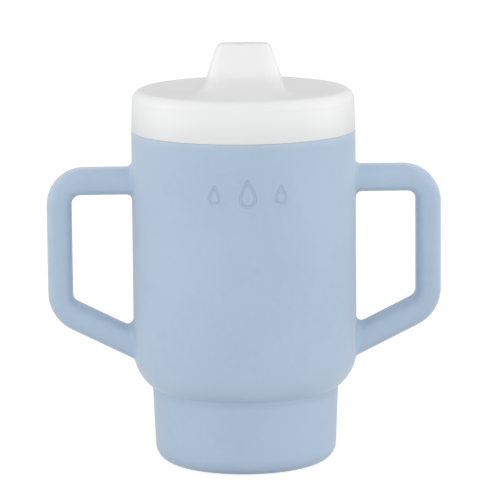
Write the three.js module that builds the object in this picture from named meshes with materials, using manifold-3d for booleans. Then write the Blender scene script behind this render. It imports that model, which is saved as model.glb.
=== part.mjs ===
// Two-handled toddler sippy cup, in millimetres, +Z up.
// The origin is the centre of the foot's underside. The spout is towards -Y and the handles lie along X.
//
//   cup_body    soft silicone cup with a stepped base, both handles and a reduced neck
//   lid         rigid push-on lid: skirt over the neck, plug wall inside it, hollow spout, valve socket
//   lid_seal    twin-lipped silicone ring in the plug wall's groove
//   spout_valve silicone plug with a slit membrane, pressed into the socket under the spout

import * as THREE from 'three';
import * as BufferGeometryUtils from 'three/addons/utils/BufferGeometryUtils.js';
import Module from 'manifold-3d';

const wasm = await Module();
wasm.setup();

// Driving dimensions of the cup body.
const BODY_RADIUS = 36.0;
const BELLY_RADIUS = 36.12;
const SHOULDER_Z = 36.0;
const SHOULDER_ARC = 14.0;
const CREASE_RADIUS = 30.1;
const CREASE_Z = 24.6;
const FOOT_WALL_RADIUS = 29.35;
const FOOT_ARC = 5.5;
const FOOT_RECESS_RADIUS = 18.5;
const FOOT_RECESS_DEPTH = 1.2;
const JOINT_Z = 107.7;
const NECK_RADIUS = 34.2;
const RIM_Z = 118.5;
const BORE_RADIUS = 32.2;
const BASE_BORE_RADIUS = 26.0;
const FLOOR_Z = 4.6;
const FLOOR_ARC = 4.0;
const BORE_TAPER = 0.4;
const BORE_STEP_LOW = 1.0;
const BORE_STEP_MIDDLE = 5.0;
const WALL_EDGE = 0.4;
const RIM_ARC = 1.0;
const RIM_CHAMFER = 0.8;

// Driving dimensions of the handles.
const HANDLE_DEPTH = 12.5;
const HANDLE_EDGE_ARC = 3.4;
const HANDLE_TOP_Z = 96.1;
const HANDLE_UNDER_Z = 87.5;
const HANDLE_OUTER_X = 63.5;
const HANDLE_INNER_X = 55.45;
const STRUT_SLOPE = 0.5;
const STRUT_REFERENCE_X = 48;
const STRUT_UPPER_Z = 49.4;
const STRUT_LOWER_Z = 39.65;
const HANDLE_TOP_ARC = 12;
const HANDLE_BOTTOM_ARC = 13.5;
const HANDLE_INNER_ARC = 3;
const HANDLE_ROOT_X = 27;

// Driving dimensions of the lid.
const LID_GAP = 0.2;
const LID_TOP_Z = 121.1;
const LID_TOP_RADIUS = 35.65;
const LID_EDGE_ARC = 3.3;
const LID_PLATE = 2.2;
const SKIRT_INNER_RADIUS = 34.5;
const PLUG_OUTER_RADIUS = 31.3;
const PLUG_INNER_RADIUS = 28.9;
const PLUG_BOTTOM_Z = 108.4;
const GROOVE_RADIUS = 30.2;
const GROOVE_LOW_Z = 110.6;
const GROOVE_HIGH_Z = 114.0;
const PLUG_LEAD_WIDTH = 0.6;
const PLUG_LEAD_HEIGHT = 0.8;
const SKIRT_CHAMFER = 0.8;
const SKIRT_EDGE = 0.35;
const LIP_RADIUS = 32.1;
const LIP_TURN = 0.8;
const SEAL_GAP = 0.1;

// Driving dimensions of the spout, whose section is a rounded rectangle that narrows upwards.
const SPOUT_Y = -11.0;
const SPOUT_TOP_Z = 137.0;
const SPOUT_WALL = 1.8;
const MOUTH_HALF_WIDTH = 8.3;
const MOUTH_HALF_DEPTH = 4.2;
const ROOT_HALF_WIDTH = 13.6;
const ROOT_HALF_DEPTH = 8.0;
const ROOT_FLARE = 2.5;
const ROOT_SWEEP = 6.0;
const MOUTH_EDGE_ARC = 1.3;
const SECTION_POWER = 3;
const SECTION_POINTS = 32;
const SPOUT_STEPS = 14;
const HOLE_RADIUS = 0.8;
const HOLE_PITCH = 4.4;
const HOLE_COUNT = 3;
const HOLE_SEGMENTS = 16;

// Driving dimensions of the valve and its socket.
const SOCKET_OUTER_RADIUS = 8.8;
const SOCKET_INNER_RADIUS = 7.2;
const SOCKET_BOTTOM_Z = 111.6;
const SOCKET_TOP_Z = 119.6;
const VALVE_RADIUS = 7.1;
const VALVE_BORE_RADIUS = 5.4;
const VALVE_FLANGE_RADIUS = 9.0;
const VALVE_FLANGE_LOW_Z = 109.9;
const VALVE_FLANGE_HIGH_Z = 111.5;
const VALVE_TOP_Z = 118.0;
const VALVE_CHAMFER = 0.5;
const MEMBRANE_THICKNESS = 1.1;
const MEMBRANE_DISH = 1.2;
const SLIT_WIDTH = 0.35;
const SLIT_LENGTH = 6.4;
const SLIT_CUT_HEIGHT = 8;
const TAB_LENGTH = 6.5;
const TAB_HALF_WIDTH = 3.6;

// Driving dimensions of the three pressed water drops on the front wall.
const DROP_Z = 90.6;
const DROP_RADIUS = 2.7;
const DROP_HEIGHT = 9.4;
const DROP_LINE = 0.8;
const DROP_DEPTH = 0.45;
const DROP_FLANK = 0.75;
const DROP_TIP_LINE = 2.6;
const DROP_CUT_DEPTH = 6;
const SIDE_DROP_SCALE = 0.72;
const DROP_PITCH = 10.4;

// How finely round stretches are divided.
const TURN_SEGMENTS = 64;
const VALVE_SEGMENTS = 32;
const ARC_DIVISIONS = 3;
const HANDLE_EDGE_DIVISIONS = 3;
const HANDLE_CURVE_DIVISIONS = 5;
const SMALL_CURVE_DIVISIONS = 6;

// How far a cutter runs past the face that it opens.
const OVERRUN = 1.0;

const QUARTER = Math.PI / 2;
const CREASE_ANGLE = -Math.acos((CREASE_RADIUS - BELLY_RADIUS + SHOULDER_ARC) / SHOULDER_ARC);

// Each mesh is one closed body, so a piece is handled as a solid that can be joined and cut.
function signedVolume(positions, indices) {
  const a = new THREE.Vector3();
  const b = new THREE.Vector3();
  const c = new THREE.Vector3();
  let volume = 0;
  for (let i = 0; i < indices.length; i += 3) {
    a.fromArray(positions, indices[i] * 3);
    b.fromArray(positions, indices[i + 1] * 3);
    c.fromArray(positions, indices[i + 2] * 3);
    volume += a.dot(b.cross(c)) / 6;
  }
  return volume;
}

function toSolid(geometry) {
  const bare = geometry.clone();
  bare.deleteAttribute('normal');
  bare.deleteAttribute('uv');
  const merged = BufferGeometryUtils.mergeVertices(bare, 1e-4);
  const positions = merged.attributes.position.array;
  const corners = merged.index.array;
  const kept = [];
  for (let i = 0; i < corners.length; i += 3) {
    const [a, b, c] = [corners[i], corners[i + 1], corners[i + 2]];
    if (a !== b && b !== c && c !== a) kept.push(a, b, c);
  }
  if (signedVolume(positions, kept) < 0) kept.reverse();
  const triVerts = new Uint32Array(kept);
  return new wasm.Manifold(new wasm.Mesh({ numProp: 3, vertProperties: positions, triVerts }));
}

function toMesh(name, solid, material) {
  const { vertProperties, triVerts } = solid.getMesh();
  const geometry = new THREE.BufferGeometry();
  geometry.setAttribute('position', new THREE.Float32BufferAttribute(vertProperties, 3));
  geometry.setIndex(Array.from(triVerts));
  geometry.computeVertexNormals();
  const mesh = new THREE.Mesh(geometry, material);
  mesh.name = name;
  return mesh;
}

// A profile is drawn as (radius, height) and turned about the Z axis.
function turned(profile, segments = TURN_SEGMENTS) {
  const points = profile.getPoints(ARC_DIVISIONS);
  const geometry = new THREE.LatheGeometry(points, segments);
  geometry.rotateX(QUARTER);
  return toSolid(geometry);
}

function rod(radius, lowZ, highZ, segments = TURN_SEGMENTS) {
  const geometry = new THREE.CylinderGeometry(radius, radius, highZ - lowZ, segments);
  geometry.rotateX(QUARTER);
  geometry.translate(0, 0, (lowZ + highZ) / 2);
  return toSolid(geometry);
}

// Outside of the cup: foot, stepped base, rounded shoulder, wall and neck.
function cupOutside() {
  const profile = new THREE.Path();
  profile.moveTo(0, FOOT_RECESS_DEPTH);
  profile.lineTo(FOOT_RECESS_RADIUS, FOOT_RECESS_DEPTH);
  profile.lineTo(FOOT_RECESS_RADIUS + FOOT_RECESS_DEPTH, 0);
  profile.absarc(FOOT_WALL_RADIUS - FOOT_ARC, FOOT_ARC, FOOT_ARC, -QUARTER, 0, false);
  profile.lineTo(CREASE_RADIUS, CREASE_Z);
  profile.absarc(BELLY_RADIUS - SHOULDER_ARC, SHOULDER_Z, SHOULDER_ARC, CREASE_ANGLE, 0, false);
  profile.lineTo(BODY_RADIUS, JOINT_Z - WALL_EDGE);
  profile.lineTo(BODY_RADIUS - WALL_EDGE, JOINT_Z);
  profile.lineTo(NECK_RADIUS, JOINT_Z);
  profile.absarc(NECK_RADIUS - RIM_ARC, RIM_Z - RIM_ARC, RIM_ARC, 0, QUARTER, false);
  profile.lineTo(0, RIM_Z);
  return turned(profile);
}

// Inside of the cup, open above the rim, with the step of the base followed at an even wall.
function cupInside() {
  const profile = new THREE.Path();
  profile.moveTo(0, FLOOR_Z);
  profile.lineTo(BASE_BORE_RADIUS - FLOOR_ARC, FLOOR_Z);
  profile.absarc(BASE_BORE_RADIUS - FLOOR_ARC, FLOOR_Z + FLOOR_ARC, FLOOR_ARC, -QUARTER, 0, false);
  profile.lineTo(BASE_BORE_RADIUS + BORE_TAPER, CREASE_Z + BORE_STEP_LOW);
  profile.quadraticCurveTo(BORE_RADIUS, CREASE_Z + BORE_STEP_MIDDLE, BORE_RADIUS, SHOULDER_Z + BORE_STEP_LOW);
  profile.lineTo(BORE_RADIUS, RIM_Z - RIM_CHAMFER);
  profile.lineTo(BORE_RADIUS + RIM_CHAMFER + OVERRUN, RIM_Z + OVERRUN);
  profile.lineTo(0, RIM_Z + OVERRUN);
  return turned(profile);
}

function strutZ(referenceZ, x) {
  return referenceZ + STRUT_SLOPE * (x - STRUT_REFERENCE_X);
}

// Height of the centre of an arc that touches a vertical at faceX and the strut line of referenceZ.
function cornerArc(faceX, referenceZ, radius) {
  const x = faceX - radius;
  const z = strutZ(referenceZ, x) + radius * Math.hypot(1, STRUT_SLOPE);
  return new THREE.Vector2(x, z);
}

// One handle: a level top bar, an upright grip and a strut that slopes down to the wall.
function handle(side) {
  const slopeAngle = Math.atan(STRUT_SLOPE) - QUARTER;
  const outer = cornerArc(HANDLE_OUTER_X, STRUT_LOWER_Z, HANDLE_BOTTOM_ARC);
  const inner = cornerArc(HANDLE_INNER_X, STRUT_UPPER_Z, HANDLE_INNER_ARC);
  const outerTop = new THREE.Vector2(HANDLE_OUTER_X - HANDLE_TOP_ARC, HANDLE_TOP_Z - HANDLE_TOP_ARC);
  const innerTop = new THREE.Vector2(HANDLE_INNER_X - HANDLE_INNER_ARC, HANDLE_UNDER_Z - HANDLE_INNER_ARC);
  const outline = new THREE.Shape();
  outline.moveTo(HANDLE_ROOT_X, HANDLE_TOP_Z);
  outline.lineTo(outerTop.x, HANDLE_TOP_Z);
  outline.absarc(outerTop.x, outerTop.y, HANDLE_TOP_ARC, QUARTER, 0, true);
  outline.absarc(outer.x, outer.y, HANDLE_BOTTOM_ARC, 0, slopeAngle, true);
  outline.lineTo(HANDLE_ROOT_X, strutZ(STRUT_LOWER_Z, HANDLE_ROOT_X));
  outline.lineTo(HANDLE_ROOT_X, strutZ(STRUT_UPPER_Z, HANDLE_ROOT_X));
  outline.absarc(inner.x, inner.y, HANDLE_INNER_ARC, slopeAngle, 0, false);
  outline.absarc(innerTop.x, innerTop.y, HANDLE_INNER_ARC, 0, QUARTER, false);
  outline.lineTo(HANDLE_ROOT_X, HANDLE_UNDER_Z);
  const geometry = new THREE.ExtrudeGeometry(outline, {
    depth: HANDLE_DEPTH - 2 * HANDLE_EDGE_ARC,
    bevelThickness: HANDLE_EDGE_ARC,
    bevelSize: HANDLE_EDGE_ARC,
    bevelOffset: -HANDLE_EDGE_ARC,
    bevelSegments: HANDLE_EDGE_DIVISIONS,
    curveSegments: HANDLE_CURVE_DIVISIONS,
  });
  geometry.translate(0, 0, HANDLE_EDGE_ARC - HANDLE_DEPTH / 2);
  geometry.rotateX(QUARTER);
  if (side < 0) geometry.rotateZ(Math.PI);
  return toSolid(geometry);
}

// A drop with a round bottom and a pointed top, drawn about the centre of its round part.
function dropPath(path, radius, height) {
  const tipZ = height - radius;
  path.moveTo(-radius, 0);
  path.absarc(0, 0, radius, Math.PI, 2 * Math.PI, false);
  path.quadraticCurveTo(radius, radius * DROP_FLANK, 0, tipZ);
  path.quadraticCurveTo(-radius, radius * DROP_FLANK, -radius, 0);
  return path;
}

// A groove along one drop's outline, pressed into the front wall to an even depth.
function dropGroove(x, scale) {
  const radius = DROP_RADIUS * scale;
  const height = DROP_HEIGHT * scale;
  const outline = dropPath(new THREE.Shape(), radius, height);
  const innerHeight = height - DROP_TIP_LINE * DROP_LINE;
  outline.holes.push(dropPath(new THREE.Path(), radius - DROP_LINE, innerHeight));
  const geometry = new THREE.ExtrudeGeometry(outline, {
    depth: DROP_CUT_DEPTH,
    bevelEnabled: false,
    curveSegments: SMALL_CURVE_DIVISIONS,
  });
  geometry.rotateX(QUARTER);
  geometry.translate(x, OVERRUN + DROP_CUT_DEPTH / 2 - BODY_RADIUS, DROP_Z);
  const core = rod(BODY_RADIUS - DROP_DEPTH, DROP_Z - 2 * DROP_HEIGHT, DROP_Z + 2 * DROP_HEIGHT);
  return toSolid(geometry).subtract(core);
}

function cupBody() {
  let solid = cupOutside().add(handle(1)).add(handle(-1)).subtract(cupInside());
  solid = solid.subtract(dropGroove(0, 1));
  for (const side of [-1, 1]) {
    solid = solid.subtract(dropGroove(side * DROP_PITCH, SIDE_DROP_SCALE));
  }
  return solid;
}

// Lid without its spout: skirt, plate and plug wall in one closed section.
function lidShell() {
  const underside = LID_TOP_Z - LID_PLATE;
  const bottom = JOINT_Z + LID_GAP;
  const profile = new THREE.Path();
  profile.moveTo(0, underside);
  profile.lineTo(PLUG_INNER_RADIUS, underside);
  profile.lineTo(PLUG_INNER_RADIUS, PLUG_BOTTOM_Z);
  profile.lineTo(PLUG_OUTER_RADIUS - PLUG_LEAD_WIDTH, PLUG_BOTTOM_Z);
  profile.lineTo(PLUG_OUTER_RADIUS, PLUG_BOTTOM_Z + PLUG_LEAD_HEIGHT);
  profile.lineTo(PLUG_OUTER_RADIUS, GROOVE_LOW_Z);
  profile.lineTo(GROOVE_RADIUS, GROOVE_LOW_Z);
  profile.lineTo(GROOVE_RADIUS, GROOVE_HIGH_Z);
  profile.lineTo(PLUG_OUTER_RADIUS, GROOVE_HIGH_Z);
  profile.lineTo(PLUG_OUTER_RADIUS, underside);
  profile.lineTo(SKIRT_INNER_RADIUS - SKIRT_CHAMFER, underside);
  profile.lineTo(SKIRT_INNER_RADIUS, underside - SKIRT_CHAMFER);
  profile.lineTo(SKIRT_INNER_RADIUS, bottom);
  profile.lineTo(BODY_RADIUS - SKIRT_EDGE, bottom);
  profile.lineTo(BODY_RADIUS, bottom + SKIRT_EDGE);
  profile.absarc(LID_TOP_RADIUS - LID_EDGE_ARC, LID_TOP_Z - LID_EDGE_ARC, LID_EDGE_ARC, 0, QUARTER, false);
  profile.lineTo(0, LID_TOP_Z);
  return turned(profile);
}

// Unit section of the spout: a rounded rectangle given by the superellipse formula.
function roundedSection(count) {
  const points = [];
  for (let i = 0; i < count; i += 1) {
    const angle = (i / count) * 2 * Math.PI;
    const x = Math.sign(Math.cos(angle)) * Math.abs(Math.cos(angle)) ** (2 / SECTION_POWER);
    const y = Math.sign(Math.sin(angle)) * Math.abs(Math.sin(angle)) ** (2 / SECTION_POWER);
    points.push(new THREE.Vector2(x, y));
  }
  return new THREE.Shape(points);
}

// A column of the unit section whose half sizes change with height, by warping a plain extrusion.
function column(lowZ, highZ, steps, halfSizes) {
  const section = roundedSection(SECTION_POINTS);
  const geometry = new THREE.ExtrudeGeometry(section, { depth: 1, steps, bevelEnabled: false });
  const position = geometry.attributes.position;
  for (let i = 0; i < position.count; i += 1) {
    const z = lowZ + (highZ - lowZ) * position.getZ(i);
    const [halfWidth, halfDepth] = halfSizes(z);
    position.setXYZ(i, position.getX(i) * halfWidth, SPOUT_Y + position.getY(i) * halfDepth, z);
  }
  return toSolid(geometry);
}

// How far a concave root of one radius stands out from the flank at a height above the lid's top.
function rootReach(radius, height) {
  const gap = THREE.MathUtils.clamp(radius - height, 0, radius);
  return radius - Math.sqrt(radius ** 2 - gap ** 2);
}

// Straight flanks that lean in towards the mouth, a tight root at the sides, a wider one in front
// and behind, and a rounded mouth edge.
function spoutHalfSizes(z) {
  const rise = THREE.MathUtils.clamp((z - LID_TOP_Z) / (SPOUT_TOP_Z - LID_TOP_Z), 0, 1);
  const flare = rootReach(ROOT_FLARE, z - LID_TOP_Z);
  const sweep = rootReach(ROOT_SWEEP, z - LID_TOP_Z);
  const mouthGap = THREE.MathUtils.clamp(z - SPOUT_TOP_Z + MOUTH_EDGE_ARC, 0, MOUTH_EDGE_ARC);
  const edge = MOUTH_EDGE_ARC - Math.sqrt(MOUTH_EDGE_ARC ** 2 - mouthGap ** 2);
  const halfWidth = THREE.MathUtils.lerp(ROOT_HALF_WIDTH, MOUTH_HALF_WIDTH, rise);
  const halfDepth = THREE.MathUtils.lerp(ROOT_HALF_DEPTH, MOUTH_HALF_DEPTH, rise);
  return [halfWidth + flare - edge, halfDepth + sweep - edge];
}

function spoutHollowHalfSizes(z) {
  const rise = THREE.MathUtils.clamp((z - LID_TOP_Z) / (SPOUT_TOP_Z - LID_TOP_Z), 0, 1);
  return [
    THREE.MathUtils.lerp(ROOT_HALF_WIDTH, MOUTH_HALF_WIDTH, rise) - SPOUT_WALL,
    THREE.MathUtils.lerp(ROOT_HALF_DEPTH, MOUTH_HALF_DEPTH, rise) - SPOUT_WALL,
  ];
}

function lid() {
  const underside = LID_TOP_Z - LID_PLATE;
  const socket = rod(SOCKET_OUTER_RADIUS, SOCKET_BOTTOM_Z, underside + OVERRUN, VALVE_SEGMENTS);
  const socketBore = rod(SOCKET_INNER_RADIUS, SOCKET_BOTTOM_Z - OVERRUN, SOCKET_TOP_Z, VALVE_SEGMENTS);
  let solid = lidShell();
  solid = solid.add(column(LID_TOP_Z - OVERRUN, SPOUT_TOP_Z, SPOUT_STEPS, spoutHalfSizes));
  solid = solid.add(socket.translate([0, SPOUT_Y, 0]));
  solid = solid.subtract(column(SOCKET_TOP_Z - OVERRUN, SPOUT_TOP_Z - SPOUT_WALL, 2, spoutHollowHalfSizes));
  solid = solid.subtract(socketBore.translate([0, SPOUT_Y, 0]));
  for (let i = 0; i < HOLE_COUNT; i += 1) {
    const x = (i - (HOLE_COUNT - 1) / 2) * HOLE_PITCH;
    const hole = rod(HOLE_RADIUS, SPOUT_TOP_Z - 2 * SPOUT_WALL, SPOUT_TOP_Z + OVERRUN, HOLE_SEGMENTS);
    solid = solid.subtract(hole.translate([x, SPOUT_Y, 0]));
  }
  return solid;
}

// Ring with two rounded lips that wipe the inside of the neck.
function lidSeal() {
  const low = GROOVE_LOW_Z + SEAL_GAP;
  const high = GROOVE_HIGH_Z - SEAL_GAP;
  const inner = GROOVE_RADIUS + SEAL_GAP;
  const middle = (low + high) / 2;
  const lipArc = (high - low) / 4;
  const profile = new THREE.Path();
  profile.moveTo(inner, low);
  profile.lineTo(LIP_RADIUS - lipArc, low);
  profile.absarc(LIP_RADIUS - lipArc, low + lipArc, lipArc, -QUARTER, QUARTER * LIP_TURN, false);
  profile.lineTo(LIP_RADIUS - lipArc, middle);
  profile.absarc(LIP_RADIUS - lipArc, high - lipArc, lipArc, -QUARTER * LIP_TURN, QUARTER, false);
  profile.lineTo(inner, high);
  profile.lineTo(inner, low);
  return turned(profile);
}

function slit(angle) {
  const geometry = new THREE.BoxGeometry(SLIT_LENGTH, SLIT_WIDTH, SLIT_CUT_HEIGHT);
  geometry.rotateZ(angle);
  geometry.translate(0, 0, VALVE_TOP_Z);
  return toSolid(geometry);
}

// Pull tab on the flange: a strip with a round end, towards the middle of the lid.
function pullTab() {
  const reach = VALVE_FLANGE_RADIUS + TAB_LENGTH - TAB_HALF_WIDTH;
  const outline = new THREE.Shape();
  outline.moveTo(-TAB_HALF_WIDTH, VALVE_BORE_RADIUS + OVERRUN);
  outline.lineTo(TAB_HALF_WIDTH, VALVE_BORE_RADIUS + OVERRUN);
  outline.absarc(0, reach, TAB_HALF_WIDTH, 0, Math.PI, false);
  const depth = VALVE_FLANGE_HIGH_Z - VALVE_FLANGE_LOW_Z;
  const geometry = new THREE.ExtrudeGeometry(outline, {
    depth,
    bevelEnabled: false,
    curveSegments: SMALL_CURVE_DIVISIONS,
  });
  geometry.translate(0, 0, VALVE_FLANGE_LOW_Z);
  return toSolid(geometry);
}

// Valve: flange and pull tab below, thin wall up into the socket, dished membrane with a cross slit.
function spoutValve() {
  const profile = new THREE.Path();
  const membraneUnder = VALVE_TOP_Z - MEMBRANE_THICKNESS;
  const dishTop = VALVE_TOP_Z - MEMBRANE_DISH;
  const dishUnder = membraneUnder - MEMBRANE_DISH;
  const dishRadius = VALVE_BORE_RADIUS / 2;
  profile.moveTo(VALVE_BORE_RADIUS, VALVE_FLANGE_LOW_Z);
  profile.lineTo(VALVE_FLANGE_RADIUS, VALVE_FLANGE_LOW_Z);
  profile.lineTo(VALVE_FLANGE_RADIUS, VALVE_FLANGE_HIGH_Z);
  profile.lineTo(VALVE_RADIUS, VALVE_FLANGE_HIGH_Z);
  profile.lineTo(VALVE_RADIUS, VALVE_TOP_Z - VALVE_CHAMFER);
  profile.lineTo(VALVE_RADIUS - VALVE_CHAMFER, VALVE_TOP_Z);
  profile.lineTo(VALVE_BORE_RADIUS, VALVE_TOP_Z);
  profile.quadraticCurveTo(dishRadius, dishTop, 0, dishTop);
  profile.lineTo(0, dishUnder);
  profile.quadraticCurveTo(dishRadius, dishUnder, VALVE_BORE_RADIUS, membraneUnder);
  profile.lineTo(VALVE_BORE_RADIUS, VALVE_FLANGE_LOW_Z);
  return turned(profile, VALVE_SEGMENTS).add(pullTab()).subtract(slit(0)).subtract(slit(QUARTER));
}

function plastic(color, roughness) {
  return new THREE.MeshStandardMaterial({ color, roughness, metalness: 0 });
}

const part = new THREE.Group();
part.add(toMesh('cup_body', cupBody(), plastic(0xadc3dd, 0.75)));

const lidGroup = new THREE.Group();
lidGroup.add(toMesh('lid', lid(), plastic(0xf4f4f3, 0.6)));
lidGroup.add(toMesh('lid_seal', lidSeal(), plastic(0xdfe4e8, 0.7)));
const valveMesh = toMesh('spout_valve', spoutValve(), plastic(0xe6ebee, 0.65));
valveMesh.position.y = SPOUT_Y;
lidGroup.add(valveMesh);
part.add(lidGroup);

export default part;
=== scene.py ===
"""Looks of a two-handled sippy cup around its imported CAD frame.

Lengths are in millimetres until a piece becomes a mesh, and then in metres.
"""

import math

import bmesh
import bpy
import numpy as np
from mathutils import Matrix, Vector


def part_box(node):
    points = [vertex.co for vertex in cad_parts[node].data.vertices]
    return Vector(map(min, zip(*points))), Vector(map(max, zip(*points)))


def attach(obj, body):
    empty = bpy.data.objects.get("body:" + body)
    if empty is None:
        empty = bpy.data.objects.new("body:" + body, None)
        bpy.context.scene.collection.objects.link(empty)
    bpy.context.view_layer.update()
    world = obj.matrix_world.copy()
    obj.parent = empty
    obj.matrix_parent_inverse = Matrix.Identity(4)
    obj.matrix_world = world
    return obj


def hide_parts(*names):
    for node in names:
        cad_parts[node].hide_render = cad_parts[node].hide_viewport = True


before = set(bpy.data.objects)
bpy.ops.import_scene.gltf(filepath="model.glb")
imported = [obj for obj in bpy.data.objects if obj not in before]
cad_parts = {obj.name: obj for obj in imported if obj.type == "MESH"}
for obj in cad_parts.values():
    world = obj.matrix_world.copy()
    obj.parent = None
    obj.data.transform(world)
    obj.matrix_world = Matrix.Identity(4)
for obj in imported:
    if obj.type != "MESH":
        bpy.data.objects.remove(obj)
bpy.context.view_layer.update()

MM = 0.001


def box_mm(node):
    low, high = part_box(node)
    return low / MM, high / MM


# Places and sizes that the frame gives.
CUP_LOW, CUP_HIGH = box_mm("cup_body")
LID_LOW, LID_HIGH = box_mm("lid")
SEAL_LOW, SEAL_HIGH = box_mm("lid_seal")
VALVE_LOW, VALVE_HIGH = box_mm("spout_valve")

# Cup body.
BELLY_RADIUS = CUP_HIGH.y
BODY_RADIUS = LID_HIGH.x
SHOULDER_Z = 36.0
SHOULDER_ARC = 14.0
CREASE_RADIUS = 30.1
CREASE_Z = 24.6
CREASE_FILLET = 0.8
FOOT_WALL_RADIUS = 29.35
FOOT_ARC = 5.5
FOOT_RECESS_RADIUS = 18.5
FOOT_RECESS_DEPTH = 1.2
FOOT_RECESS_ARC = 0.5
GATE_RADIUS = 2.2
GATE_HEIGHT = 0.35
GATE_FLANK = 0.2
GATE_ARC = 0.12
LID_GAP = 0.04
JOINT_Z = LID_LOW.z - LID_GAP
WALL_EDGE = 0.18
NECK_RADIUS = 34.2
NECK_ROOT_ARC = 0.3
RIM_Z = CUP_HIGH.z
RIM_ARC = 0.95
BORE_RADIUS = 32.2
BASE_BORE_RADIUS = 26.0
BASE_BORE_TOP_RADIUS = 26.4
FLOOR_Z = 4.6
FLOOR_ARC = 4.0
FLOOR_RING_RADII = (12, 4)

# Handles.
HANDLE_HALF_DEPTH = 6.25
HANDLE_TOP_Z = 96.1
HANDLE_UNDER_Z = 87.5
HANDLE_OUTER_X = CUP_HIGH.x
HANDLE_INNER_X = 55.45
STRUT_SLOPE = 0.5
STRUT_REFERENCE_X = 48
STRUT_UPPER_Z = 49.4
STRUT_LOWER_Z = 39.65
HANDLE_TOP_ARC = 12
HANDLE_BOTTOM_ARC = 13.5
HANDLE_INNER_ARC = 3
HANDLE_POWER = 3
ROOT_FILLET = 2.0
STRUT_FOOT_LOW_Z = 29.5
STRUT_FOOT_HIGH_Z = 47.5
BAR_FOOT_LOW_Z = 83.8
BAR_FOOT_HIGH_Z = 99.8

# Lid and spout.
LID_TOP_Z = 121.1
LID_TOP_RADIUS = 35.65
LID_EDGE_ARC = 3.3
LID_PLATE = 2.2
SKIRT_INNER_RADIUS = 34.5
SKIRT_EDGE = 0.14
SKIRT_INNER_EDGE = 0.35
CEILING_FILLET = 0.8
PLUG_OUTER_RADIUS = 31.3
PLUG_INNER_RADIUS = 28.9
PLUG_BOTTOM_Z = 108.4
PLUG_ROOT_FILLET = 0.5
PLUG_EDGE = 0.6
GROOVE_RADIUS = 30.2
GROOVE_LOW_Z = 110.6
GROOVE_HIGH_Z = 114.0
GROOVE_EDGE = 0.15
GROOVE_FILLET = 0.2
SPOUT_Y = -11.0
SPOUT_TOP_Z = LID_HIGH.z
SPOUT_WALL = 1.8
HOLLOW_FILLET = 0.8
MOUTH_HALF_WIDTH = 8.3
MOUTH_HALF_DEPTH = 4.2
ROOT_HALF_WIDTH = 13.6
ROOT_HALF_DEPTH = 8.0
ROOT_FLARE = 2.5
ROOT_SWEEP = 6.0
MOUTH_EDGE_ARC = 1.3
SPOUT_POWER = 3
HOLE_RADIUS = 0.8
HOLE_EDGE = 0.25
HOLE_PITCH = 4.4
HOLE_COUNT = 3
SOCKET_OUTER_RADIUS = 8.8
SOCKET_INNER_RADIUS = 7.2
SOCKET_BOTTOM_Z = 111.6
SOCKET_TOP_Z = 119.4
SOCKET_ROOT_FILLET = 0.6
SOCKET_OUTER_EDGE = 0.4
SOCKET_INNER_EDGE = 0.3
FUNNEL_TOP_Z = 120.6

# Seal ring.
SEAL_LOW_RADIUS = GROOVE_RADIUS + 0.1
SEAL_INNER_EDGE = 0.25
SEAL_LIP_EDGE = 0.7
SEAL_WAIST_EDGE = 0.5
SEAL_WAIST_FILLET = 0.3

# Valve.
VALVE_RADIUS = 7.1
VALVE_BORE_RADIUS = 5.4
VALVE_FLANGE_RADIUS = VALVE_HIGH.x
VALVE_FLANGE_HIGH_Z = 111.5
VALVE_EDGE = 0.35
VALVE_STEM_FILLET = 0.25
VALVE_TOP_EDGE = 0.5
VALVE_DISH_EDGE = 0.4
MEMBRANE_THICKNESS = 1.1
MEMBRANE_DISH = 1.2
MEMBRANE_FLAT_RADIUS = 3.8
MEMBRANE_ARC = 0.6
MEMBRANE_ROOT_FILLET = 0.3
SLIT_HALF_WIDTH = 0.12
SLIT_HALF_LENGTH = 3.2
TAB_HALF_WIDTH = 3.6
TAB_SHARPNESS = 2.5

# Pressed drops on the front wall.
DROP_Z = 90.6
DROP_RADIUS = 2.7
DROP_HEIGHT = 9.4
DROP_LINE = 0.8
DROP_DEPTH = 0.45
DROP_SOFTNESS = 0.3
DROP_FLANK = 0.75
DROP_TIP_INSET = 1.3 * DROP_LINE
SIDE_DROP_SCALE = 0.72
DROP_PITCH = 10.4

# How finely the meshes are divided, and how strongly large faces steer the shading.
NORMAL_WEIGHT = 60
COLUMNS = 180
LID_COLUMNS = 144
ROOT_STEPS = 18
HOLE_SEGMENTS = 28
TAB_CROWDING = 0.55
ARC_STEP = math.radians(11)
BASE_WALL_SHARES = (0.25, 0.5, 0.75)
BORE_STEP_SHARES = (0, 0.15, 0.3, 0.45, 0.6, 0.75, 0.9, 1)
MIDDLE_ROWS = 12
HIGH_ROWS = 5
DROP_ROUND_STEPS = 24
DROP_FLANK_STEPS = 16
SLOPE_STEP = 0.01
FOOT_COLUMNS = 16
FOOT_ROWS = 12
FILLET_STEPS = 7
HALVINGS = 50
WALL_STEPS = 3
GRIP_STEPS = 12
LOW_BEND_STEPS = 10
BAR_STEPS = 7
STRUT_STEPS = 9
PATCH_SPLIT = 8
PATCH_HALF_COLUMNS = 12
PATCH_FIRST_ROW = 2
FRONT_COLUMN = COLUMNS * 3 // 4
FLANK_STEPS = 8
MOUTH_EDGE_STEPS = 8
HOLLOW_FILLET_STEPS = 4
HOLLOW_STEPS = 6
PLATE_STEPS = 7
FUNNEL_STEPS = 3


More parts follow.
